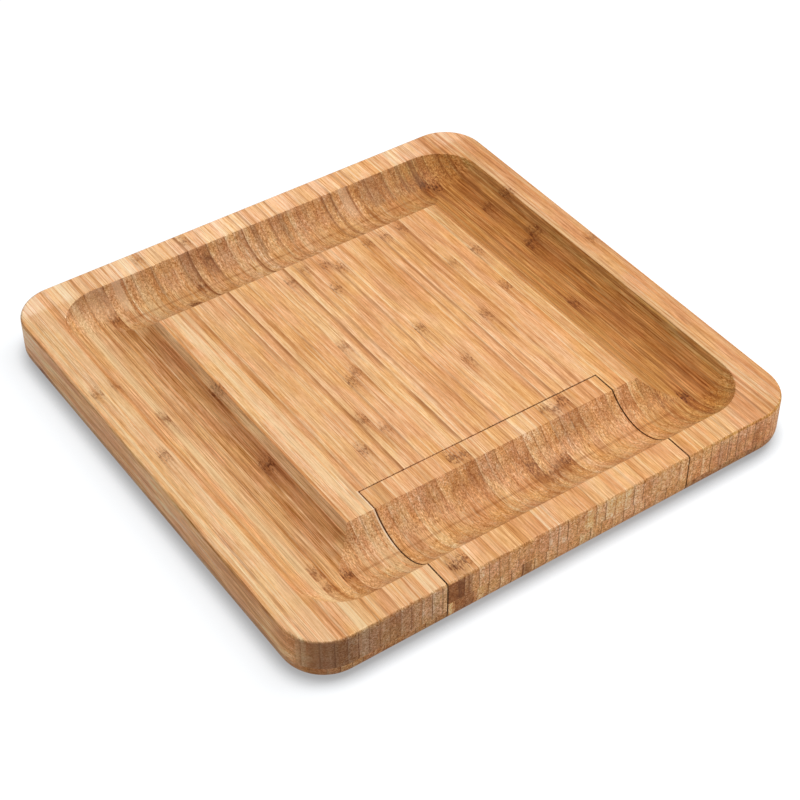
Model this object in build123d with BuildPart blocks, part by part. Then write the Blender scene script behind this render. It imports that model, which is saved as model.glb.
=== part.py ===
"""Square laminated bamboo cheese board with a moat, and a drawer of four cheese tools in its front.

Millimetres. The origin is the middle of the underside, +Z is up, and the drawer slides out along -Y.
"""
from build123d import *
import os

os.makedirs("parts", exist_ok=True)

# Top of the board: plateau, moat and rim
plateau_side = 198.0
moat_width = 48.0
moat_depth = 12.0
moat_turn = 5.5  # radius of the moat's middle line in the corners
moat_floor = 3.0  # wood left under the deepest line of the moat, above the drawer's tray
moat_edge_round = 0.7
rim_width = 18.0
corner_radius = 26.5
top_round = 1.8
bottom_round = 8.5
cut_shift = 1.1  # the moat and the drawer sit this far to the right of the board's middle

# Layers and running gaps
base_thickness = 10.0
seam_gap = 0.5  # round the drawer's front
seam_round = 0.4  # of the edges along the seams
slide_gap = 0.3  # between the tray and what guides it
overrun = 2.0  # how far a cut runs past the solid

# Cheese tools
handle_length = 76.0
handle_width = 18.0
handle_thickness = 10.5
handle_front_width = 13.0
handle_round = 3.4
ferrule_length = 9.0
ferrule_front_width = 10.0
ferrule_front_thickness = 6.0
ferrule_front_round = 2.2
blade_thickness = 1.5
neck_width = 8.0
tang_width = 6.0
tang_length = 42.0
tang_gap = 0.1
edge_bevel = 0.4

cleaver_width = 28.0
cleaver_length = 58.0
cleaver_shoulder = 14.0
cleaver_hollow = 3.0
cleaver_corner = 2.5

spade_width = 26.0
spade_length = 54.0
spade_shoulder = 18.0
spade_hollow = 2.0
spade_bulge = 4.0

fork_width = 17.0
fork_length = 62.0
fork_shoulder = 12.0
fork_hollow = 1.0
fork_slot_start = 22.0
prong_width = 4.6
prong_point = 9.0

knife_back = 6.0  # from the tool's centre line to the back of the blade
knife_belly = 11.0  # from the centre line to the cutting edge
knife_length = 68.0
knife_shoulder = 9.0
knife_hollow = 1.0
knife_tip = 26.0
knife_tip_bulge = 4.5

# Tray of the drawer
tool_count = 4
recess_gap = 1.0  # round a tool in its recess
recess_corner = 2.4
partition = 4.0  # between two recesses
side_wall = 6.9  # between the last recess and the tray's rebate
lip_reach = 8.0  # how far the tray's lip lies over the base layer
tray_floor = 3.5
handle_cover = 1.0  # how far a handle lies below the tray's top
blade_clear = 1.2  # under the blades
front_wall = 4.0
heel_length = 22.0  # solid end of the tray, which stays in the channel when the drawer is out
tray_corner = 6.0
finger_start = 22.0  # from the front end of the handles
finger_length = 26.0
finger_room = 5.0  # beyond the outer handles
finger_depth = 8.5
finger_corner = 6.0
plateau_strip = 15.0  # the part of the plateau that the drawer's front carries

# Magnets that hold the drawer shut
magnet_diameter = 8.0
magnet_thickness = 3.0
magnet_reach = 45.0  # from the middle of the drawer to the middle of a magnet
magnet_gap = 0.1
back_gap = 0.5

# What follows from the sizes above
board_side = plateau_side + 2 * (moat_width + rim_width)
tray_thickness = tray_floor + handle_thickness + handle_cover
board_height = tray_thickness + moat_floor + moat_depth
moat_radius = (moat_width**2 / 4 + moat_depth**2) / (2 * moat_depth)
moat_middle = (plateau_side + moat_width) / 2

blade_widths = (cleaver_width, spade_width, fork_width, knife_belly + knife_back)
blade_middles = (0, 0, 0, (knife_belly - knife_back) / 2)
blade_lengths = (cleaver_length, spade_length, fork_length, knife_length)
tool_pitch = max(handle_width, *blade_widths) + 2 * recess_gap + partition
core_width = tool_count * tool_pitch - partition + 2 * side_wall
drawer_width = core_width + 2 * lip_reach
front_depth = rim_width + moat_width + plateau_strip

recess_start = front_depth + front_wall
ferrule_start = recess_start + recess_gap + handle_length
blade_start = ferrule_start + ferrule_length
tray_back = blade_start + max(blade_lengths) + recess_gap + heel_length
channel_back = tray_back + back_gap
tool_z = tray_floor + handle_thickness / 2

# The drawer's own frame starts at the foot of its front face, in the middle of its width
front_face = Plane((cut_shift, -board_side / 2, 0))
from_front = (Align.CENTER, Align.MIN)


def lane(index):
    """Frame of one tool: origin where the ferrule meets the handle, at half thickness, +Y to the tip."""
    across = (index - (tool_count - 1) / 2) * tool_pitch
    return Plane((cut_shift + across, ferrule_start - board_side / 2, tool_z))


lanes = [lane(index) for index in range(tool_count)]

# Cutters of the moat: a straight run, and the quarter turn that joins two runs
moat_run = 2 * (moat_middle - moat_turn)
cutter_z = board_height + moat_radius - moat_depth
turn_plane = Plane((moat_run / 2, moat_run / 2, cutter_z), x_dir=(1, 0, 0), z_dir=(0, -1, 0))
with BuildPart() as turn_cutter:
    with BuildSketch(turn_plane):
        with Locations((moat_turn, 0)):
            Circle(moat_radius)
        Rectangle(moat_turn + moat_radius, 2 * moat_radius, align=(Align.MIN, Align.CENTER), mode=Mode.INTERSECT)
    revolve(axis=Axis(turn_plane.origin, (0, 0, 1)), revolution_arc=90)

with BuildPart() as moat_cutter:
    with Locations((0, 0, cutter_z)):
        with PolarLocations(moat_middle, 4):
            Cylinder(moat_radius, moat_run, rotation=(90, 0, 0))
    with PolarLocations(0, 4):
        add(turn_cutter.part)

# Board with its moat, from which the layers and the drawer's front are sawn
with BuildPart() as blank:
    with BuildSketch():
        RectangleRounded(board_side, board_side, corner_radius)
    extrude(amount=board_height)
    fillet(blank.edges().group_by(Axis.Z)[-1], top_round)
    fillet(blank.edges().group_by(Axis.Z)[0], bottom_round)
    with Locations((cut_shift, 0)):
        add(moat_cutter.part, mode=Mode.SUBTRACT)
    moat_edges = blank.edges(Select.LAST).filter_by_position(Axis.Z, board_height, board_height)
    fillet(moat_edges, moat_edge_round)


def ease_seams(cut_edges, *plain_heights):
    """Rounds the edges that a sawn seam leaves, but not its inner uprights or what lies at those heights."""
    upright = cut_edges.filter_by(Axis.Z)
    plain = upright - upright.group_by(Axis.Y)[0]
    for height in plain_heights:
        plain += cut_edges.filter_by_position(Axis.Z, height, height)
    fillet(cut_edges - plain, seam_round)


# Top layer: plateau, moat and rim, with the drawer's notch and the pocket over the tray's lip
with BuildPart() as top_layer:
    add(blank.part)
    split(bisect_by=Plane.XY.offset(base_thickness), keep=Keep.TOP)
    with BuildSketch(front_face):
        with Locations((0, -overrun)):
            Rectangle(drawer_width + 2 * seam_gap, front_depth + seam_gap + overrun, align=from_front)
    extrude(amount=board_height + overrun, mode=Mode.SUBTRACT)
    ease_seams(top_layer.edges(Select.LAST), base_thickness)
    with BuildSketch(front_face):
        Rectangle(drawer_width + 2 * seam_gap, channel_back, align=from_front)
        fillet(vertices().group_by(Axis.Y)[-1], tray_corner)
    extrude(amount=tray_thickness + slide_gap, mode=Mode.SUBTRACT)
top_layer.part.label = "top_layer"

# Base layer: the notch again, and behind it a narrower channel whose edges carry the tray's lip
magnet_z = base_thickness / 2
with BuildPart() as base_layer:
    add(blank.part)
    split(bisect_by=Plane.XY.offset(base_thickness), keep=Keep.BOTTOM)
    with BuildSketch(front_face):
        with Locations((0, -overrun)):
            Rectangle(drawer_width + 2 * seam_gap, front_depth + seam_gap + overrun, align=from_front)
        with Locations((0, front_depth)):
            Rectangle(core_width + 2 * slide_gap, channel_back - front_depth, align=from_front)
        fillet(vertices().group_by(Axis.Y)[-1], tray_corner)
    extrude(amount=base_thickness + overrun, mode=Mode.SUBTRACT)
    ease_seams(base_layer.edges(Select.LAST), base_thickness)
    with BuildSketch(Plane.XZ.offset(board_side / 2 - channel_back)):
        with Locations((cut_shift, magnet_z)):
            with GridLocations(2 * magnet_reach, 0, 2, 1):
                Circle(magnet_diameter / 2 + magnet_gap)
    extrude(amount=-magnet_thickness, mode=Mode.SUBTRACT)
base_layer.part.label = "base_layer"

# Drawer front: the upper half of the block in the notch
with BuildPart() as drawer_front:
    add(blank.part)
    with BuildSketch(front_face.offset(tray_thickness)):
        Rectangle(drawer_width, front_depth, align=from_front)
    extrude(amount=board_height, mode=Mode.INTERSECT)
    outer = drawer_front.edges()
    across, along = outer.group_by(Axis.X), outer.group_by(Axis.Y)
    ease_seams(across[0] + across[-1] + along[-1], tray_thickness)
drawer_front.part.label = "drawer_front"

# Drawer tray: the lower half of that block and, behind it, the tray with its lip and recesses
with BuildPart() as drawer_tray:
    add(blank.part)
    with BuildSketch(front_face):
        Rectangle(drawer_width, front_depth, align=from_front)
    extrude(amount=tray_thickness, mode=Mode.INTERSECT)
    across = drawer_tray.edges().group_by(Axis.X)
    ease_seams(across[0] + across[-1], tray_thickness)
    split(bisect_by=Plane.XY.offset(slide_gap), keep=Keep.TOP)
    with BuildSketch(front_face.offset(slide_gap)):
        with Locations((0, front_depth)):
            Rectangle(core_width, tray_back - front_depth, align=from_front)
        fillet(vertices().group_by(Axis.Y)[-1], tray_corner)
    extrude(amount=tray_thickness - slide_gap)
    with BuildSketch(front_face.offset(base_thickness + slide_gap)):
        with Locations((0, front_depth)):
            Rectangle(drawer_width, tray_back - front_depth, align=from_front)
        fillet(vertices().group_by(Axis.Y)[-1], tray_corner)
    extrude(amount=tray_thickness - base_thickness - slide_gap)
    for place, width, middle, length in zip(lanes, blade_widths, blade_middles, blade_lengths):
        with BuildSketch(place.offset(-handle_thickness / 2)):
            with Locations((0, -handle_length - recess_gap)):
                Rectangle(handle_width + 2 * recess_gap, handle_length + recess_gap + ferrule_length,
                          align=from_front)
            fillet(vertices(), recess_corner)
        extrude(amount=handle_thickness + handle_cover, mode=Mode.SUBTRACT)
        with BuildSketch(place.offset(-blade_thickness / 2 - blade_clear)):
            with Locations((middle, ferrule_length - recess_corner)):
                Rectangle(width + 2 * recess_gap, length + recess_gap + recess_corner, align=from_front)
            fillet(vertices(), recess_corner)
        extrude(amount=tray_thickness + overrun - tool_z, mode=Mode.SUBTRACT)
    finger_width = (tool_count - 1) * tool_pitch + handle_width + 2 * finger_room
    finger_middle = ferrule_start - finger_start - finger_length / 2
    with BuildSketch(front_face.offset(tray_thickness - finger_depth)):
        with Locations((0, finger_middle)):
            RectangleRounded(finger_width, finger_length, finger_corner)
    extrude(amount=finger_depth, mode=Mode.SUBTRACT)
    with BuildSketch(Plane.XZ.offset(board_side / 2 - tray_back)):
        with Locations((cut_shift, magnet_z)):
            with GridLocations(2 * magnet_reach, 0, 2, 1):
                Circle(magnet_diameter / 2 + magnet_gap)
    extrude(amount=magnet_thickness, mode=Mode.SUBTRACT)
drawer_tray.part.label = "drawer_tray"


def magnet_pair(back, direction):
    """Two disc magnets with one face on the plane that lies back behind the front face."""
    with BuildPart() as magnets:
        with BuildSketch(Plane.XZ.offset(board_side / 2 - back)):
            with Locations((cut_shift, magnet_z)):
                with GridLocations(2 * magnet_reach, 0, 2, 1):
                    Circle(magnet_diameter / 2)
        extrude(amount=direction * magnet_thickness)
    return magnets.part


tray_magnets = magnet_pair(tray_back, 1)
catch_magnets = magnet_pair(channel_back, -1)


def make_handle(place):
    """A flat bamboo handle that widens to a round butt, with a slot for the tang."""
    butt = handle_length - handle_width / 2
    with BuildPart() as handle:
        with BuildSketch(place.offset(-handle_thickness / 2)):
            with BuildLine():
                side = Line((handle_front_width / 2, 0), (handle_width / 2, -butt))
                round_end = ThreePointArc(side @ 1, (0, -handle_length), (-handle_width / 2, -butt))
                Polyline(round_end @ 1, (-handle_front_width / 2, 0), side @ 0)
            make_face()
        extrude(amount=handle_thickness)
        top_and_bottom = handle.faces().filter_by(Axis.Z).edges()
        fillet(top_and_bottom - top_and_bottom.filter_by(Axis.X), handle_round)
        with BuildSketch(place.offset(-blade_thickness / 2 - tang_gap)):
            Rectangle(tang_width + 2 * tang_gap, 2 * (tang_length - ferrule_length + tang_gap))
        extrude(amount=blade_thickness + 2 * tang_gap, mode=Mode.SUBTRACT)
    return handle.part


def make_ferrule(place):
    """A steel collar that narrows from the handle to the blade's neck, with a slot for the tang."""
    across = Plane(place.origin, x_dir=(1, 0, 0), z_dir=(0, 1, 0))
    with BuildPart() as ferrule:
        with BuildSketch(across):
            RectangleRounded(handle_front_width, handle_thickness, handle_round)
        with BuildSketch(across.offset(ferrule_length)):
            RectangleRounded(ferrule_front_width, ferrule_front_thickness, ferrule_front_round)
        loft()
        with BuildSketch(across):
            Rectangle(tang_width + 2 * tang_gap, blade_thickness + 2 * tang_gap)
        extrude(amount=ferrule_length, mode=Mode.SUBTRACT)
    return ferrule.part


def make_blade(place, outline):
    """A blade cut from sheet to the given outline, with the tang that runs back into the handle."""
    with BuildPart() as blade:
        with BuildSketch(Plane(place.origin + (0, ferrule_length, -blade_thickness / 2))):
            add(outline)
            make_face()
        extrude(amount=blade_thickness)
        long_edges = blade.faces().filter_by(Axis.Z).edges()
        chamfer(long_edges - long_edges.filter_by(Axis.X).group_by(Axis.Y)[0], edge_bevel)
        with BuildSketch(Plane(place.origin + (0, ferrule_length, -blade_thickness / 2))):
            Rectangle(tang_width, tang_length, align=(Align.CENTER, Align.MAX))
        extrude(amount=blade_thickness)
    return blade.part


def cleaver_outline():
    """A broad blade with straight sides and a straight end."""
    half_neck, half_width = neck_width / 2, cleaver_width / 2
    with BuildLine() as outline:
        foot = Line((0, 0), (half_neck, 0))
        flare = SagittaArc(foot @ 1, (half_width, cleaver_shoulder), cleaver_hollow)
        end = FilletPolyline(flare @ 1, (half_width, cleaver_length), (0, cleaver_length), radius=cleaver_corner)
        mirror(about=Plane.YZ)
    return outline.line


def spade_outline():
    """A leaf that swells from the neck and comes to a point."""
    half_neck, half_width = neck_width / 2, spade_width / 2
    with BuildLine() as outline:
        foot = Line((0, 0), (half_neck, 0))
        flare = SagittaArc(foot @ 1, (half_width, spade_shoulder), spade_hollow)
        SagittaArc(flare @ 1, (0, spade_length), -spade_bulge)
        mirror(about=Plane.YZ)
    return outline.line


def fork_outline():
    """Two pointed prongs with a round-bottomed slot between them."""
    half_neck, half_width = neck_width / 2, fork_width / 2
    slot_radius = half_width - prong_width
    with BuildLine() as outline:
        foot = Line((0, 0), (half_neck, 0))
        flare = SagittaArc(foot @ 1, (half_width, fork_shoulder), fork_hollow)
        prong = Polyline(flare @ 1, (half_width, fork_length - prong_point),
                         (half_width - prong_width / 2, fork_length),
                         (slot_radius, fork_length - prong_point),
                         (slot_radius, fork_slot_start + slot_radius))
        RadiusArc(prong @ 1, (0, fork_slot_start), slot_radius)
        mirror(about=Plane.YZ)
    return outline.line


def knife_outline():
    """A slim blade with a straight back and an edge that curves up to the point."""
    half_neck = neck_width / 2
    with BuildLine() as outline:
        foot = Line((-half_neck, 0), (half_neck, 0))
        heel = SagittaArc(foot @ 1, (knife_belly, knife_shoulder), knife_hollow)
        edge = Line(heel @ 1, (knife_belly, knife_length - knife_tip))
        tip = SagittaArc(edge @ 1, (-knife_back, knife_length), -knife_tip_bulge)
        back = Line(tip @ 1, (-knife_back, knife_shoulder))
        SagittaArc(back @ 1, foot @ 0, knife_hollow)
    return outline.line


outlines = {"cleaver": cleaver_outline(), "spade": spade_outline(),
            "fork": fork_outline(), "knife": knife_outline()}
pieces = {"tray_magnets": tray_magnets, "catch_magnets": catch_magnets}
for (tool, outline), place in zip(outlines.items(), lanes):
    pieces[tool + "_blade"] = make_blade(place, outline)
    pieces[tool + "_ferrule"] = make_ferrule(place)
    pieces[tool + "_handle"] = make_handle(place)

export_step(top_layer.part, "parts/top_layer.step")
export_step(base_layer.part, "parts/base_layer.step")
export_step(drawer_front.part, "parts/drawer_front.step")
export_step(drawer_tray.part, "parts/drawer_tray.step")
for name, piece in pieces.items():
    piece.label = name
    export_step(piece, "parts/" + name + ".step")
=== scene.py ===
"""Looks of a bamboo cheese board with a drawer of tools: wood, steel, magnets and a plain studio.

Metres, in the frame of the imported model: the origin is the middle of the underside, +Z is up and the
drawer slides out along -Y. The materials work in millimetres of that frame, so that a strip of
bamboo runs on through every cut, and the grain moves with its own piece.
"""
import math
import bpy
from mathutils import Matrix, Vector


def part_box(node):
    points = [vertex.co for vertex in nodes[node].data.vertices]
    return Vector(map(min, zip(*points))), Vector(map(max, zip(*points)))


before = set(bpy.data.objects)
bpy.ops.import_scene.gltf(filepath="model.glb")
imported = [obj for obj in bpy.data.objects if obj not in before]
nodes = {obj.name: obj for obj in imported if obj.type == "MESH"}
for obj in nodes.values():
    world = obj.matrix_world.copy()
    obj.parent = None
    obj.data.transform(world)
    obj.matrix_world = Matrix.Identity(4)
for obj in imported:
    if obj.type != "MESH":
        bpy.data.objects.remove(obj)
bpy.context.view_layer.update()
millimetres = 1000  # in a metre

# Camera, fitted to the outline of the board in the photograph
camera_azimuth = math.radians(-34.94)
camera_elevation = math.radians(42.71)
camera_distance = 1.12673
camera_target = Vector((-0.00218, -0.01074, 0))
camera_focal_pixels = 1931.96
image_pixels = 800
sensor_width = 36.0
clip_start = 0.01

# Heights on the board, in millimetres: its flat top, the glue line under its top layer, the top of the
# tray and the deepest line of the moat
top_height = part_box("top_layer")[1][2] * millimetres
glue_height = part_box("base_layer")[1][2] * millimetres
tray_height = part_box("drawer_tray")[1][2] * millimetres
moat_depth = 12.0
moat_bottom = top_height - moat_depth

# How far from its middle the plateau ends, the moat is deepest and the rim begins, in millimetres
plateau_edge = 99.0
moat_width = 48.0
moat_middle = plateau_edge + moat_width / 2
rim_start = plateau_edge + moat_width

# Where the painted shade and light of the front face and of its left corner change, and where the tray's
# recesses end, in millimetres
corner_shade_ends = (-142.0, -78.0)
bend_shade_ends = (-157.0, -136.0)
front_shade_step = -80.0
right_shade_ends = (60.0, 100.0)
recess_side = 77.0
recess_front = -82.0

# Seam round the drawer, in millimetres
drawer_low, drawer_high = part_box("drawer_front")
seam_half_gap = 0.25
seam_middle = (drawer_low[0] + drawer_high[0]) / 2 * millimetres
seam_half_span = (drawer_high[0] - drawer_low[0]) / 2 * millimetres + seam_half_gap
seam_back = drawer_high[1] * millimetres + seam_half_gap

# Strips of bamboo, in millimetres: how wide they are, and the place of one of their glue lines
strip_width = 6.5
strip_line = -50.5
nowhere = 999.0  # a place along the grain that is past every piece
knuckle_span = 620.0  # the length over which chance spreads the knuckles of a piece that has no list

# Floor and lights, in metres, degrees and watts
floor_half_side = 3.0
floor_drop = 0.0002  # so that the floor and the underside aren't one plane
shadow_reach = 0.012
world_strength = 0.37
key_azimuth, key_elevation = 80, 62
key_distance, key_side, key_power = 1.6, 0.9, 18.5


def srgb(red, green, blue):
    """A colour as it is read off a screen, from 0 to 255, as the linear colour of a material."""
    def linear(value):
        value /= 255
        return value / 12.92 if value <= 0.04045 else ((value + 0.055) / 1.055) ** 2.4
    return (linear(red), linear(green), linear(blue), 1)


# Colours of bamboo, from its darkest strips to its palest
strip_shades = ((0.00, srgb(214, 147, 87)), (0.25, srgb(232, 168, 108)), (0.50, srgb(242, 182, 125)),
                (0.75, srgb(250, 197, 142)), (1.00, srgb(255, 219, 174)))
pinker = srgb(255, 250, 255)
yellower = srgb(255, 255, 243)
dense_side = srgb(176, 112, 58)
loose_side = srgb(255, 226, 180)
dark_thread = srgb(176, 108, 58)
pale_thread = srgb(255, 228, 188)
glue_brown = srgb(160, 92, 38)
edge_brown = srgb(160, 98, 50)
dark_strip = srgb(138, 84, 42)
pale_strip = srgb(255, 227, 178)
trail_brown = srgb(160, 92, 44)
patch_brown = srgb(180, 110, 56)
mark_brown = srgb(122, 66, 30)
core_brown = srgb(96, 48, 22)
cutter_brown = srgb(150, 86, 34)
# Painted shade on the bend at the front left
bend_shade_brown = srgb(168, 122, 84)
dark_wall_strip = srgb(120, 78, 46)
pale_wall_strip = srgb(244, 204, 160)
# Painted shade along the seam, and a painted highlight on its left edge in the moat
seam_shade_brown = srgb(66, 36, 16)
seam_highlight_colour = srgb(250, 222, 190)
oil_depths = (0.74, 1.0, 1.42)  # what oil takes from red, green and blue, as shares of one amount

# Tints of end grain, which are multiplied with the colour, but for the pale strips, which are overlaid;
# the foot's tint is painted shade low on the front face
end_block = srgb(200, 184, 184)
end_border = srgb(164, 136, 112)
dark_end_strip = srgb(160, 128, 100)
pale_end_strip = srgb(255, 245, 242)
foot_shade_tint = srgb(236, 234, 230)

# Tints of the moat and of what lies round it, which are multiplied with the colour. Most are painted
# shade or painted light. The right rim's and the right edge's are the wood's own tone. The right run's
# and the right slope's are darker wood and painted shade both
cross_runs_shade_tint = srgb(228, 222, 213)
front_run_light_tint = (1.08, 1.07, 1.07, 1)
front_outside_light_tint = (1.05, 1.10, 1.11, 1)
left_run_shade_tint = srgb(240, 238, 233)
left_wall_tint = srgb(221, 203, 186)
right_run_wood_and_shade_tint = srgb(218, 205, 168)
right_slope_wood_and_shade_tint = srgb(236, 222, 212)
right_rim_tint = srgb(241, 233, 227)
right_edge_tint = srgb(255, 251, 236)
back_rim_sheen_tint = (1.14, 1.25, 1.48, 1)
front_left_shade_tint = (0.92, 0.95, 1.04, 1)
front_right_light_tint = (1.06, 1.07, 1.15, 1)
right_end_light_tint = (1.08, 1.07, 1.08, 1)
corner_shade_tint = srgb(204, 200, 204)
recess_shade_tint = srgb(206, 190, 182)


class Net:
    """The nodes of a material, written as sums: each call adds a node and gives back its output."""

    def __init__(self, name):
        self.material = bpy.data.materials.new(name)
        self.material.use_nodes = True
        self.tree = self.material.node_tree
        self.tree.nodes.clear()

    def add(self, kind, inputs=(), output=0, **settings):
        made = self.tree.nodes.new(kind)
        for name, value in settings.items():
            setattr(made, name, value)
        for key, value in dict(inputs).items():
            if isinstance(value, bpy.types.NodeSocket):
                self.tree.links.new(value, made.inputs[key])
            else:
                made.inputs[key].default_value = value
        return made.outputs[output]

    def math(self, operation, *values, clamp=False):
        return self.add("ShaderNodeMath", enumerate(values), operation=operation, use_clamp=clamp)

    def vector(self, operation, *values):
        return self.add("ShaderNodeVectorMath", enumerate(values), operation=operation)

    def times(self, vector, factor):
        return self.add("ShaderNodeVectorMath", {0: vector, "Scale": factor}, operation="SCALE")

    def split(self, vector):
        made = self.tree.nodes.new("ShaderNodeSeparateXYZ")
        self.tree.links.new(vector, made.inputs[0])
        return made.outputs[0], made.outputs[1], made.outputs[2]

    def join(self, x, y, z):
        return self.add("ShaderNodeCombineXYZ", {0: x, 1: y, 2: z})

    def total(self, first, *others):
        for other in others:
            first = self.math("ADD", first, other)
        return first

    def product(self, first, *others):
        for other in others:
            first = self.math("MULTIPLY", first, other)
        return first

    def away(self, value, place=None):
        """How far a value lies from a place, or from nought where no place is given, to either side."""
        if place is not None:
            value = self.math("SUBTRACT", value, place)
        return self.math("ABSOLUTE", value)

    def fade(self, value, start, end, low=0.0, high=1.0):
        """A smooth step: low up to start, high from end on."""
        inputs = {"Value": value, "From Min": start, "From Max": end, "To Min": low, "To Max": high}
        return self.add("ShaderNodeMapRange", inputs, interpolation_type="SMOOTHSTEP")

    def until(self, value, start, end):
        """A smooth step down: one up to start, nought from end on."""
        return self.fade(value, start, end, 1.0, 0.0)

    def noise(self, place, detail=2.0, rough=0.5):
        return self.add("ShaderNodeTexNoise",
                        {"Vector": place, "Scale": 1.0, "Detail": detail, "Roughness": rough})

    def grain(self, place, stretch, detail=2.0, rough=0.5, shift=None):
        """Noise that is as fine along X, Y and Z as the stretch says, moved by the shift."""
        place = self.vector("MULTIPLY", place, stretch)
        if shift is not None:
            place = self.vector("ADD", place, shift)
        return self.noise(place, detail, rough)

    def centred(self, value, spread=1.0):
        """Noise lies round a half: this puts it round zero, and makes it as wide as the spread."""
        return self.math("MULTIPLY", self.math("SUBTRACT", value, 0.5), spread)

    def chance(self, index, seed):
        """Four numbers from 0 to 1 that are the same all over one strip."""
        made = self.tree.nodes.new("ShaderNodeTexWhiteNoise")
        made.noise_dimensions = "2D"
        self.tree.links.new(self.join(index, seed, 0), made.inputs["Vector"])
        return (made.outputs["Value"], *self.split(made.outputs["Color"]))

    def choose(self, factor, first, second):
        """The second number where the factor is one, else the first."""
        return self.add("ShaderNodeMix", {0: factor, 2: first, 3: second}, data_type="FLOAT")

    def mix(self, factor, first, second, blend="MIX"):
        inputs = {0: factor, 6: first, 7: second}
        return self.add("ShaderNodeMix", inputs, 2, data_type="RGBA", blend_type=blend)

    def ramp(self, factor, stops):
        made = self.tree.nodes.new("ShaderNodeValToRGB")
        while len(made.color_ramp.elements) < len(stops):
            made.color_ramp.elements.new(1)
        for element, (place, colour) in zip(made.color_ramp.elements, stops):
            element.position = place
            element.color = colour
        self.tree.links.new(factor, made.inputs[0])
        return made.outputs[0]

    def finish(self, shader):
        output = self.tree.nodes.new("ShaderNodeOutputMaterial")
        self.tree.links.new(shader, output.inputs["Surface"])
        return self.material


def knuckle_rows(knuckles, width, line):
    """Sorts knuckles into rows with one at most in each strip: strip number to place along Y and strength."""
    rows = []
    for x, y, *strength in knuckles:
        strip = math.floor((x - line) / width)
        row = next((row for row in rows if strip not in row), None)
        if row is None:
            row = {}
            rows.append(row)
        row[strip] = (y, *(strength or [1.0]))
    return rows


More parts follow.
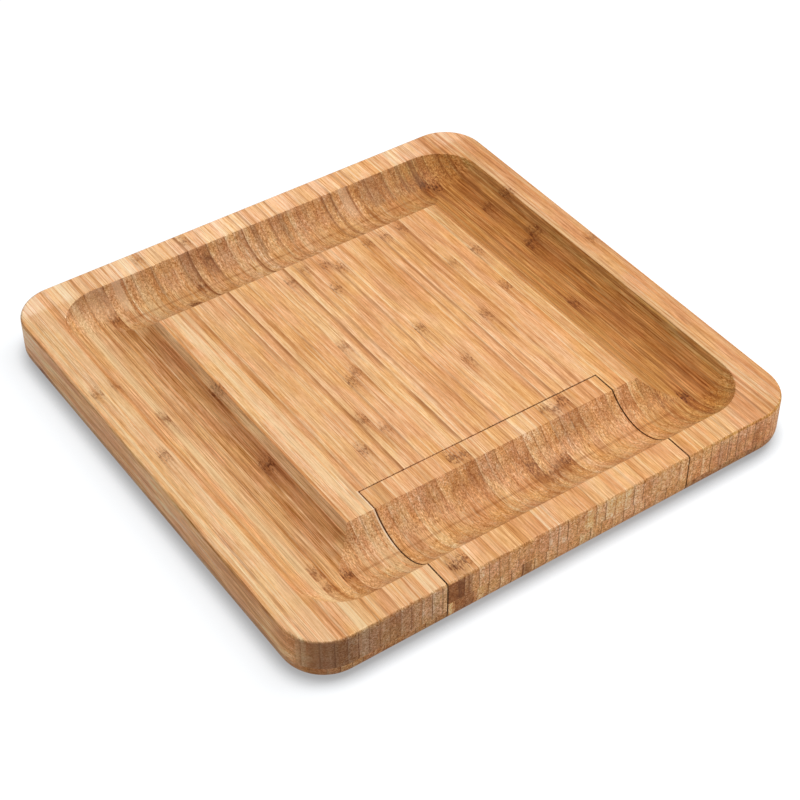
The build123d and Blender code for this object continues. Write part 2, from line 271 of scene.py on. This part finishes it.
class Bamboo(Net):
    """Bamboo glued up from upright strips side by side along X, with the grain along Y.

    The colour is built up in layers, from the strips to the painted shade along the seam, and some
    layers paint light and shade. The methods whose names start with colour add their own layers to what
    is below, and bamboo() calls them in order.
    """

    def __init__(self, name, seed, width, line, moat):
        super().__init__(name)
        source = self.tree.nodes.new("ShaderNodeTexCoord")
        self.place = self.times(source.outputs["Object"], millimetres)
        self.x, self.y, self.z = self.split(self.place)
        self.normal_x, self.normal_y, self.normal_z = self.split(source.outputs["Normal"])
        facing = self.away(self.normal_y)
        self.end = self.fade(facing, 0.15, 0.75)
        self.sheer = self.fade(facing, 0.75, 1.0)

        # Which strip, how far across it, and what chance gave it
        sway = self.centred(self.grain(self.place, (0.02, 0.006, 0.02), 1), 1.6)
        self.swayed = self.math("ADD", self.x, sway)
        across = self.math("DIVIDE", self.math("SUBTRACT", self.swayed, line), width)
        self.index = self.math("FLOOR", across)
        self.share = self.math("FRACT", across)
        self.off_middle = self.math("SUBTRACT", self.share, 0.5)
        self.to_border = self.math("MINIMUM", self.share, self.math("SUBTRACT", 1, self.share))
        self.tone, self.flip, self.edge, self.fleck = self.chance(self.index, seed)
        self.lean, self.reach, _, self.pale = self.chance(self.index, seed + 0.37)
        self.shift = self.times(self.join(self.tone, self.flip, self.edge), 40)
        self.blots = self.grain(self.place, (0.7, 0.8, 0.8), 3, 0.65)

        # Where the moat is hollow, which is below the flat top and not on an upright face, and its right end
        if moat:
            self.hollow = self.product(self.fade(self.normal_z, 0.2, 0.5),
                                       self.until(self.z, top_height - 0.3, top_height - 0.05))
            self.far_right = self.fade(self.x, plateau_edge - 11, plateau_edge + 15)

    def cover(self, factor, colour):
        self.colour = self.mix(factor, self.colour, colour)

    def stain(self, factor, tint):
        self.colour = self.mix(factor, self.colour, tint, "MULTIPLY")

    def deepen(self, amount):
        """Lightens the colour by an amount, or darkens it where that is below nought, as oil does."""
        shades = (self.math("ADD", 1, self.math("MULTIPLY", amount, depth)) for depth in oil_depths)
        self.stain(1, self.join(*shades))

    def seek_knuckles(self, knuckles, width, line):
        """Finds the distance along the grain to the strip's nearest knuckle, and that one's strength."""
        ragged = self.grain(self.place, (0.5, 0.3, 0.3))
        leaning = self.product(self.math("SUBTRACT", self.z, top_height), self.centred(self.lean, 0.8))
        along = self.total(self.y, leaning, self.centred(ragged, 5.0))
        self.off = None
        for row in knuckle_rows(knuckles, width, line) or [{}]:
            at = nowhere if row else self.centred(self.reach, knuckle_span)
            force = 1.0
            for strip, (knuckle_y, strength) in row.items():
                own = self.math("COMPARE", self.index, strip, 0.5)
                at = self.choose(own, at, knuckle_y)
                if strength != 1:
                    force = self.choose(own, force, strength)
            to_knuckle = self.math("SUBTRACT", along, at)
            if self.off is None:
                self.off, self.force = to_knuckle, force
            else:
                closer = self.math("LESS_THAN", self.away(to_knuckle), self.away(self.off))
                self.off = self.choose(closer, self.off, to_knuckle)
                self.force = self.choose(closer, self.force, force)

    def shape_knuckles(self):
        """Brown strokes in a ragged patch as wide as the strip, with a darker trail along the grain."""
        strokes = self.grain(self.place, (1.25, 0.38, 0.9), 3, 0.65)
        aside = self.away(self.off_middle)
        self.side = self.total(self.product(self.off_middle, 2), self.centred(self.blots, 1.1))
        bow = self.product(self.side, self.side, 2.6)
        length = self.total(self.away(self.off), self.product(bow, 0.9))
        self.patch = self.until(length, 2.6, 9.5)
        turn = self.math("SIGN", self.centred(self.lean))
        turned = self.total(self.product(self.off, turn), self.centred(self.blots, 5.0), 1.6)
        curve = self.product(self.until(self.away(turned, bow), 0.1, 1.2), self.fade(strokes, 0.34, 0.56))
        flanks = self.product(self.fade(aside, 0.26, 0.44), self.fade(strokes, 0.44, 0.6))
        mark = self.math("MAXIMUM", self.math("MAXIMUM", curve, flanks), self.fade(strokes, 0.50, 0.62))
        own_strength = self.math("MULTIPLY_ADD", self.fleck, 0.5, 0.55)
        self.mark = self.product(mark, self.patch, own_strength, self.force)
        streaky = self.total(self.fade(strokes, 0.4, 0.65, 0.2, 0.7),
                             self.product(self.fade(aside, 0.12, 0.42), 0.6))
        self.trail = self.product(self.fade(self.off, -26, -2), self.until(self.off, -1, 2), streaky)

    def lay_fibres(self, moat):
        """Long and short fibres along the grain, which bend round the knuckles."""
        around = self.product(self.patch, self.centred(self.blots, 2.5))
        self.bent = self.vector("ADD", self.place, self.join(around, 0, 0))
        self.long_fibres = self.grain(self.bent, (2.0, 0.030, 1.6), 2, 0.6, self.shift)
        self.short_fibres = self.grain(self.bent, (2.2, 0.12, 1.9), 2, 0.7, self.shift)
        self.fibres = self.total(self.centred(self.long_fibres, 0.65), self.centred(self.short_fibres, 1.3))
        if moat:
            livelier = self.product(self.hollow, self.math("MULTIPLY_ADD", self.far_right, 0.4, 1.8))
            self.fibres = self.total(self.fibres, self.product(self.centred(self.long_fibres), livelier))
        wander = self.grain(self.place, (0.02, 0.022, 0.05), shift=self.shift)
        self.wander = self.fade(wander, 0.35, 0.62, 0.3, 1.0)

    def colour_strips(self):
        """Each strip has its own tone, a dense side, a loose side, fibres, threads and a glue line."""
        streaks = self.grain(self.bent, (0.42, 0.016, 0.22), 3, 0.55, self.shift)
        mottle = self.grain(self.place, (0.04, 0.03, 0.30), 3, 0.6)
        slow = self.grain(self.place, (0.02, 0.012, 0.03), 1)
        warmth = self.grain(self.place, (0.09, 0.035, 0.09), 2, 0.6)
        flank = self.fade(self.away(self.normal_x), 0.6, 0.95)
        level = self.total(self.centred(self.tone, 0.36), self.centred(streaks, 1.7),
                           self.product(flank, self.centred(mottle, 2.8)), self.centred(slow, 0.35))
        self.colour = self.ramp(self.math("ADD", level, 0.5, clamp=True), strip_shades)
        self.stain(1, self.mix(self.fade(warmth, 0.35, 0.65), pinker, yellower))
        self.cover(self.product(self.fade(self.share, 0.35, 1.0), self.wander, self.edge, 0.36), dense_side)
        self.cover(self.product(self.until(self.share, 0.02, 0.30), self.flip, 0.45), loose_side)
        self.deepen(self.fibres)

        threads = self.grain(self.bent, (0.75, 0.009, 0.65), 1, 0.6, self.shift)
        come_and_go = self.grain(self.bent, (0.25, 0.03, 0.25), shift=self.shift)
        dark = self.product(self.until(self.away(threads, 0.5), 0.012, 0.055),
                            self.fade(come_and_go, 0.40, 0.56))
        light = self.product(self.until(self.away(threads, 0.60), 0.012, 0.05),
                             self.fade(come_and_go, 0.58, 0.40))
        self.cover(self.product(dark, 0.5), dark_thread)
        self.cover(self.product(light, 0.40), pale_thread)
        self.cover(self.product(self.until(self.to_border, 0.0, 0.05), self.fleck, self.wander, 0.34),
                   glue_brown)

    def colour_notable_strips(self, dark_edges, strips):
        """Dark edges and darker or paler strips at places of their own."""
        for edge_x, strength in dark_edges:
            from_edge = self.math("SUBTRACT", self.swayed, edge_x)
            band = self.product(self.fade(from_edge, -2.8, -0.3), self.until(from_edge, 0.0, 0.4))
            self.cover(self.product(band, self.wander, strength), edge_brown)
        lively = self.math("ADD", 0.6, self.centred(self.long_fibres, 1.6), clamp=True)
        weaker_on_ends = self.math("MULTIPLY_ADD", self.end, -0.5, 1)
        for strip_x, half_width, strength in strips:
            band = self.until(self.away(self.swayed, strip_x), half_width * 0.75, half_width)
            self.cover(self.product(band, lively, weaker_on_ends, abs(strength)),
                       dark_strip if strength > 0 else pale_strip)

    def colour_knuckles(self, moat, bold):
        deeper = self.fade(self.z, top_height - 6, top_height, 0.9, bold) if moat else bold
        core = self.total(self.away(self.total(self.off, self.centred(self.blots, 4.0))),
                          self.away(self.product(self.side, 3.0)))
        core = self.product(self.until(core, 0.9, 2.6),
                            self.fade(self.z, top_height - 8, top_height - 1, 0.3, bold - 0.5))
        core = self.math("MULTIPLY", core, self.force, clamp=True)
        self.cover(self.product(self.trail, self.fade(self.z, top_height - 6, top_height, 0.6, 0.34)),
                   trail_brown)
        self.cover(self.product(self.patch, self.fade(self.z, top_height - 8, top_height, 0.32, 0.22)),
                   patch_brown)
        self.cover(self.math("MULTIPLY", self.mark, deeper, clamp=True), mark_brown)
        self.cover(core, core_brown)

    def colour_ends(self, moat, end_strips):
        """End grain, where a face crosses the grain: blocks of their own tone, torn by the cutter."""
        varied = self.math("MULTIPLY_ADD", self.sheer, -0.36, 0.56)
        self.stain(self.product(self.end, self.total(0.03, self.product(self.pale, varied))), end_block)
        torn = self.fade(self.normal_y, -0.30, 0.02, 1.0, 0.12)
        finer = self.fade(self.y, -60, 60, 1.4, 1.0)
        grit = self.times(self.vector("MULTIPLY", self.place, (0.72, 0.6, 0.9)), finer)
        grit = self.product(torn, self.centred(self.noise(grit, 2, 0.7), 1.55))
        if not moat:
            grit = self.product(grit, self.end)
        self.grit = self.product(grit, self.math("MULTIPLY_ADD", self.sheer, 0.95, 1))
        self.deepen(self.grit)
        border = self.product(self.fade(self.share, 0.86, 0.97), self.end,
                              self.total(0.12, self.product(self.flip, 0.45)))
        border = self.math("MULTIPLY", border, self.math("MULTIPLY_ADD", self.sheer, 0.7, 0.9), clamp=True)
        self.stain(border, end_border)
        self.front = self.until(self.normal_y, -0.9, -0.5)
        # Painted shade: the front face is darker towards the bottom, below the glue line
        self.stain(self.product(self.front, self.until(self.z, glue_height / 2, glue_height + 1)), foot_shade_tint)
        for strip_x, half_width, strength in end_strips:
            band = self.product(self.until(self.away(self.x, strip_x), half_width * 0.9, half_width),
                                self.sheer, abs(strength))
            if strength > 0:
                self.stain(band, dark_end_strip)
            else:
                self.colour = self.mix(band, self.colour, pale_end_strip, "OVERLAY")

    def colour_moat(self):
        """Painted shade in the moat's runs, painted light on the front run, darker wood with painted shade on
        the right, and a dark strip of wood on the left wall.
        """
        from_y_middle = self.away(self.y)
        left = (-plateau_edge - 19, -plateau_edge - 1)
        cross_runs = self.product(self.fade(from_y_middle, plateau_edge, plateau_edge + 9),
                                  self.fade(self.x, *left), self.math("SUBTRACT", 1, self.far_right))
        front_run = self.until(self.y, -plateau_edge - 10, -plateau_edge - 6)
        front_outside = self.until(self.y, -moat_middle - 10, -moat_middle - 1)
        # Painted shade in the runs, and painted light on the front run and on the front's outer slope
        self.stain(self.product(self.hollow, cross_runs), cross_runs_shade_tint)
        self.stain(self.product(self.hollow, front_run), front_run_light_tint)
        self.stain(self.product(self.hollow, front_outside), front_outside_light_tint)
        self.stain(self.product(self.hollow, self.until(self.x, *left)), left_run_shade_tint)
        # Right run and slope: darker, more orange wood, with painted shade and orange bounce light on it
        self.stain(self.product(self.hollow, self.far_right), right_run_wood_and_shade_tint)
        self.stain(self.product(self.far_right, self.until(self.z, moat_bottom + 2, top_height - 2)),
                   right_slope_wood_and_shade_tint)
        left_wall = self.product(self.until(self.away(self.x, -plateau_edge - 6), 3.1, 3.7),
                                 self.until(from_y_middle, plateau_edge - 1, plateau_edge + 7))
        self.stain(self.product(self.hollow, left_wall), left_wall_tint)

    def colour_round_moat(self):
        """The right rim and the plateau's right edge in the wood's own tone there, painted shade on the left
        part of the front face, and painted light on its right part and on the right part of both end faces.
        """
        right_rim = self.product(self.fade(self.x, plateau_edge - 3, rim_start - 7),
                                 self.math("SUBTRACT", 1, self.hollow), self.fade(self.normal_z, 0.2, 0.5))
        right_edge = self.product(self.fade(self.x, plateau_edge - 15, plateau_edge - 5),
                                  self.until(self.x, plateau_edge, plateau_edge + 3))
        past_step = self.fade(self.x, front_shade_step - 1, front_shade_step + 1)
        front_shade_and_light = self.mix(past_step, front_left_shade_tint, front_right_light_tint)
        self.stain(right_rim, right_rim_tint)
        self.stain(right_edge, right_edge_tint)
        # Painted shade on the left part of the front face, painted light on its right part and on the right
        # part of both end faces
        self.stain(self.product(self.sheer, self.front), front_shade_and_light)
        self.stain(self.product(self.sheer, self.fade(self.x, *right_shade_ends)), right_end_light_tint)

    def colour_back_wall(self, wall_strips):
        back_wall = self.product(self.hollow, self.fade(self.y, moat_middle + 4, moat_middle + 9))
        for strip_x, half_width, strength in wall_strips:
            band = self.until(self.away(self.x, strip_x), half_width * 0.8, half_width)
            self.cover(self.product(band, back_wall, abs(strength)),
                       dark_wall_strip if strength > 0 else pale_wall_strip)

    def colour_cuts(self):
        """The cutter's line along the deepest part of the moat, painted shade on the front-left corner and
        its bend, and a painted sheen on the back rim.
        """
        from_line = self.away(self.away(self.y), moat_middle)
        cutter = self.product(self.until(from_line, 0.3, 1.5),
                              self.until(self.z, moat_bottom + 0.3, moat_bottom + 1.5),
                              self.until(self.away(self.x), plateau_edge + 5, plateau_edge + 15),
                              self.fade(self.blots, 0.3, 0.7, 0.1, 0.6))
        self.cover(cutter, cutter_brown)
        # Painted shade on the front face near its left corner, and on the bend round that corner
        corner = self.product(self.until(self.normal_y, -0.8, -0.3), self.until(self.x, *corner_shade_ends))
        self.stain(corner, corner_shade_tint)
        bend = self.product(self.until(self.normal_y, -0.8, -0.2), self.until(self.x, *bend_shade_ends), 0.6)
        self.cover(bend, self.mix(0.5, bend_shade_brown, self.colour, "MULTIPLY"))
        # Painted sheen: the back rim is paler and less orange, as a whitish reflection makes it
        back_rim_sheen = self.product(self.fade(self.y, rim_start - 3, rim_start + 3),
                                self.fade(self.normal_z, 0.2, 0.6))
        self.stain(back_rim_sheen, back_rim_sheen_tint)

    def colour_seam(self, moat):
        """Painted shade darkens the edges along the seam, where its gap is dark, and a painted highlight lies
        on its left edge in the moat.
        """
        from_middle = self.math("SUBTRACT", self.x, seam_middle)
        across_seam = self.math("SUBTRACT", self.away(from_middle), seam_half_span)
        beyond_seam = self.math("SUBTRACT", self.y, seam_back)
        from_seam = self.away(self.math("MAXIMUM", across_seam, beyond_seam))
        on_left_plateau = self.product(self.until(self.x, seam_middle - 1, seam_middle + 1),
                                       self.fade(self.y, -plateau_edge - 2, -plateau_edge + 1))
        seam_shade_mask = self.product(self.fade(self.blots, 0.3, 0.65, 0.45, 0.9),
                             self.fade(beyond_seam, -4, -1, 1, 0.6),
                             self.math("MULTIPLY_ADD", on_left_plateau, -0.6, 1))
        self.cover(self.product(self.until(from_seam, 0.2, 0.65), seam_shade_mask), seam_shade_brown)
        if moat:
            from_seam_highlight = self.away(self.total(from_middle, seam_half_span + 0.8))
            seam_highlight_mask = self.product(self.until(from_seam_highlight, 0.3, 0.6),
                                self.fade(self.y, -moat_middle - 3, -moat_middle + 7, 0, 0.75),
                                self.until(beyond_seam, 0.5, 1.0))
            self.cover(seam_highlight_mask, seam_highlight_colour)

    def colour_recess(self):
        """Painted shade: the recesses of the tray are darker than its top."""
        inside = self.product(self.fade(self.y, recess_front - 1, recess_front + 1),
                              self.until(self.away(self.x), recess_side - 1, recess_side + 1),
                              self.until(self.z, tray_height - 1.2, tray_height - 0.2))
        self.stain(inside, recess_shade_tint)

    def finish_wood(self):
        roughness = self.total(0.48, self.centred(self.short_fibres, 0.25), self.product(self.end, 0.16))
        height = self.total(self.product(self.short_fibres, 0.035), self.product(self.mark, -0.04),
                            self.product(self.grit, 0.012))
        groove = self.fade(self.to_border, 0.0, 0.08, self.product(self.sheer, 0.7))
        height = self.product(height, groove)
        bump = self.add("ShaderNodeBump", {"Strength": 0.6, "Distance": 0.001, "Height": height})
        shader = self.add("ShaderNodeBsdfPrincipled",
                          {"Base Color": self.colour, "Roughness": roughness, "Normal": bump,
                           "Specular IOR Level": 0.14})
        return self.finish(shader)


def bamboo(name, seed, knuckles=(), dark_edges=(), strips=(), end_strips=(), wall_strips=(),
           width=strip_width, line=strip_line, moat=False, recess=False, bold=0.68, tint=None):
    """Makes the bamboo of one layer, tray or handle.

    A knuckle is a place along X and Y in millimetres and, where it isn't 1, a strength. They are as dark as
    they are bold, and where none are given, chance puts them. A dark edge is a place along X and a strength.
    A strip is a place along X, half a width and a strength, darker above nought and paler below it. End
    strips show in the end grain of the faces alone, and wall strips on the moat's back wall. The tint is
    multiplied with everything.
    """
    wood = Bamboo(name, seed, width, line, moat)
    wood.seek_knuckles(knuckles, width, line)
    wood.shape_knuckles()
    wood.lay_fibres(moat)
    wood.colour_strips()
    wood.colour_notable_strips(dark_edges, strips)
    wood.colour_knuckles(moat, bold)
    wood.colour_ends(moat, end_strips)
    if moat:
        wood.colour_moat()
        wood.colour_round_moat()
        wood.colour_back_wall(wall_strips)
        wood.colour_cuts()
    wood.colour_seam(moat)
    if recess:
        wood.colour_recess()
    if tint:
        wood.stain(1, tint)
    return wood.finish_wood()


def steel(name, tint, rough, stretch):
    """Brushed steel, with its fine lines along the short side of the stretch."""
    net = Net(name)
    place = net.times(net.add("ShaderNodeTexCoord", output="Object"), millimetres)
    lines = net.grain(place, stretch, 3, 0.6)
    smears = net.grain(place, (0.06, 0.06, 0.06))
    colour = net.mix(net.fade(lines, 0.3, 0.7), tint, srgb(236, 236, 234))
    roughness = net.total(rough, net.centred(lines, 0.12), net.centred(smears, 0.10))
    bump = net.add("ShaderNodeBump", {"Strength": 0.4, "Distance": 0.00002, "Height": lines})
    shader = net.add("ShaderNodeBsdfPrincipled",
                     {"Base Color": colour, "Roughness": roughness, "Normal": bump, "Metallic": 1})
    return net.finish(shader)


def dress(material, *names):
    """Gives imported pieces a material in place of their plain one."""
    for name in names:
        nodes[name].material_slots[0].material = material


def dress_board():
    """The two layers of the board."""
    knuckles = (
        # Plateau
        (-14, 86), (-5, 92), (-1, 91), (10, 88), (15, 81), (46, 91), (55, 90), (67, 92), (4, 66), (79, 46),
        (94, 48), (-19, 19), (-33, -9), (-28, -3), (23, 7), (86, 10), (62, -5), (29, -31), (-46, -38),
        (-59, -58), (-39, -51),
        # Moat and rim on the left
        (-155, 65), (-144, 66, 0.7), (-150, 0), (-131, 36, 0.6), (-104, -32, 1.2), (-102, 31, 0.9),
        (-112, -125, 1.5), (-126, -108, 0.8), (-125, -121, 0.7),
        # Moat and rim on the right
        (121, -19), (136, 46, 1.1), (142, 48, 0.9), (148, 84, 1.1), (134, 91, 0.8), (119, 122, 1.5),
        (124, -121, 1.6), (159, 17, 0.8),
        # Moat and rim at the back
        (-68, 112), (-55, 130, 1.3), (-45, 157), (-42, 142, 1.2), (-79, 158), (-115, 123, 1.1), (118, 134),
    )
    dark_edges = (
        (-50.5, 0.9), (-57, 0.25), (-77, 0.3), (-36.5, 0.4), (-11.5, 0.8), (-4.5, 0.5), (8.5, 0.4),
        (15.5, 0.45), (47.5, 0.6), (54, 0.6), (66, 0.45), (72, 0.5), (101, 0.25), (108, 0.4), (114, 0.5),
        (121, 0.55), (127, 0.4), (134, 0.6), (140, 0.6), (147, 0.5),
    )
    strips = (
        # Left rim and moat
        (-161, 1.8, -0.5), (-157.8, 0.9, 0.3), (-155, 1.6, -0.25), (-149.5, 3.4, -0.5), (-141.5, 2.2, 0.22),
        (-132, 5.5, -0.22), (-131.2, 2.6, -0.85), (-126, 2.8, -0.35), (-122, 0.7, 0.45),
        (-118.5, 2.5, -0.3), (-112, 3.5, 0.16), (-105.5, 2.5, -0.15), (-99.4, 1.8, -0.5),
        # Plateau
        (-94, 1.2, 0.12), (-88, 3.2, -0.6), (-82.2, 1.9, -0.55), (-76, 1.1, 0.3), (-69, 4, -0.22),
        (-59, 1.5, -0.3), (-48.5, 1.6, -0.35), (-22, 2.0, -0.3), (34, 4.0, -0.2), (78, 5, 0.12),
        # Right moat and rim
        (96, 3.5, 0.35), (106, 1.8, 0.12), (111.5, 2, -0.2), (117, 1.3, -0.2), (137, 3.5, 0.12),
        (149.2, 1.2, -0.75), (152, 1.2, 0.2), (158.5, 2.0, 0.1), (162, 1.6, -0.3),
    )
    wall_strips = (
        (-116, 7, -0.2), (-101, 3, -0.4), (-76, 1.1, 0.3), (-54, 4.5, 0.25), (-39.5, 3, 0.25), (-29, 7, 0.15),
        (-9, 9, 0.12), (-3.5, 1.2, 0.45), (16, 1.3, 0.35), (24, 4, 0.12), (62, 3.5, -0.3), (81.5, 4.5, 0.25),
        (92, 1.5, 0.3), (104, 1.2, 0.4), (95, 24, 0.14), (115, 2.3, 0.5),
    )
    end_strips = ((-143, 7, 0.25), (-107, 6, 0.2), (-89, 4, 0.18), (107, 3.3, 0.2), (133, 3.3, 0.25))
    dress(bamboo("top_wood", 3, knuckles, dark_edges, strips, end_strips, wall_strips, moat=True),
          "top_layer")
    # Painted shade: the lower layer is tinted darker all over
    dress(bamboo("base_wood", 11, line=-48.0, tint=srgb(222, 216, 212)), "base_layer")


def dress_drawer():
    """The drawer's front and its tray."""
    knuckles = (
        (-69.5, -156, 1.3), (-64, -155), (-24, -91), (-18, -93), (41, -90, 0.8), (47, -92), (54, -89),
        (15, -110, 0.9), (13, -117, 0.7), (21, -119, 0.8), (27, -120, 1.05), (34, -121, 0.9),
    )
    strips = (
        (-70.5, 3.6, 0.35), (-65, 1.6, -0.3), (-44, 2, -0.3), (-12, 3, 0.15), (27, 2.5, -0.25), (58, 3, 0.15),
    )
    end_strips = (
        (-75, 6, 0.9), (-67, 3, 0.4), (12.8, 3.1, -0.35), (33, 9, -0.3), (63.5, 3.1, -0.2), (70, 3, -0.2),
    )
    dress(bamboo("front_wood", 23, knuckles, strips=strips, end_strips=end_strips, line=-47.0, moat=True,
                 bold=0.95), "drawer_front")
    tray_knuckles = ((-64, -40), (-18, 20), (27, -60), (70, 10), (-40, 80), (50, 72), (-74, 60), (10, -10))
    tray_ends = ((-69.5, 6.5, 0.6), (-77.5, 1.6, -0.5), (-28.5, 3.5, 0.6), (-59.5, 2.9, -0.25))
    dress(bamboo("tray_wood", 37, tray_knuckles, end_strips=tray_ends, width=7.6, line=-46.0, recess=True),
          "drawer_tray")


def dress_tools():
    """Handles, blades and ferrules of the four tools, and the magnets."""
    tools = ("cleaver", "spade", "fork", "knife")
    dress(bamboo("handle_wood", 51, width=4.2, line=0.0, tint=srgb(236, 212, 190)),
          *(tool + "_handle" for tool in tools))
    dress(steel("blade_steel_brushed", srgb(196, 198, 200), 0.26, (2.5, 0.05, 2.5)),
          *(tool + "_blade" for tool in tools))
    dress(steel("ferrule_steel_satin", srgb(186, 188, 190), 0.32, (0.1, 3.0, 0.1)),
          *(tool + "_ferrule" for tool in tools))
    dress(steel("magnet_nickel", srgb(200, 198, 190), 0.2, (0.6, 0.6, 0.6)), "tray_magnets", "catch_magnets")


def from_target(azimuth, elevation):
    """The direction towards a camera or a lamp. Azimuth 0 is in front of the board, 90 on its right."""
    return Vector((math.sin(azimuth) * math.cos(elevation), -math.cos(azimuth) * math.cos(elevation),
                   math.sin(elevation)))


def camera():
    """The photograph's view."""
    lens = bpy.data.cameras.new("camera")
    lens.sensor_width = sensor_width
    lens.lens = camera_focal_pixels * sensor_width / image_pixels
    lens.clip_start = clip_start
    made = bpy.data.objects.new("camera", lens)
    bpy.context.scene.collection.objects.link(made)
    back = from_target(camera_azimuth, camera_elevation)
    made.location = camera_target + back * camera_distance
    made.rotation_euler = back.to_track_quat("Z", "Y").to_euler()
    bpy.context.scene.camera = made


def seen_directly(net):
    """One where the camera, a mirror or glass looks straight at it, and nought for scattered light."""
    path = net.tree.nodes.new("ShaderNodeLightPath")
    seen = net.math("ADD", path.outputs["Is Camera Ray"], path.outputs["Is Glossy Ray"])
    return net.math("ADD", seen, path.outputs["Is Transmission Ray"], clamp=True)


def floor():
    """A pale floor that looks white and keeps the board's shadow."""
    side = floor_half_side
    mesh = bpy.data.meshes.new("floor")
    mesh.from_pydata([(-side, -side, 0), (side, -side, 0), (side, side, 0), (-side, side, 0)], [],
                     [(0, 1, 2, 3)])
    made = bpy.data.objects.new("floor", mesh)
    made.location.z = -floor_drop
    bpy.context.scene.collection.objects.link(made)
    net = Net("floor")
    seen = seen_directly(net)
    tint = net.mix(seen, (0.80, 0.78, 0.75, 1), (0.25, 0.26, 0.27, 1))
    diffuse = net.add("ShaderNodeBsdfDiffuse", {"Color": tint})
    # Painted contact shadow: ambient occlusion darkens the floor's glow next to the board
    closed_in = net.add("ShaderNodeAmbientOcclusion", {"Distance": shadow_reach}, 1)
    white = net.product(net.fade(closed_in, 0.35, 1.0, 0.42, 1.0), 0.85)
    glow = net.add("ShaderNodeEmission",
                   {"Color": (0.985, 1, 1.015, 1), "Strength": net.product(seen, white)})
    mesh.materials.append(net.finish(net.add("ShaderNodeAddShader", {0: diffuse, 1: glow})))


def lamp(name, azimuth, elevation, distance, side, power):
    """A square soft light that faces the board."""
    light = bpy.data.lights.new(name, "AREA")
    light.size = side
    light.energy = power
    made = bpy.data.objects.new(name, light)
    bpy.context.scene.collection.objects.link(made)
    away = from_target(math.radians(azimuth), math.radians(elevation))
    made.location = away * distance
    made.rotation_euler = away.to_track_quat("Z", "Y").to_euler()


def studio():
    """White surroundings and a soft key light."""
    world = bpy.data.worlds.new("studio")
    world.use_nodes = True
    bpy.context.scene.world = world
    tree = world.node_tree
    background = tree.nodes["Background"]
    path = tree.nodes.new("ShaderNodeLightPath")
    strength = tree.nodes.new("ShaderNodeMapRange")
    strength.inputs["To Min"].default_value = world_strength
    strength.inputs["To Max"].default_value = 1.0
    tree.links.new(path.outputs["Is Camera Ray"], strength.inputs["Value"])
    tree.links.new(strength.outputs[0], background.inputs["Strength"])
    background.inputs["Color"].default_value = (1, 1, 1, 1)
    lamp("key", key_azimuth, key_elevation, key_distance, key_side, key_power)


dress_board()
dress_drawer()
dress_tools()
camera()
floor()
studio()
bpy.context.scene.view_settings.view_transform = "Standard"
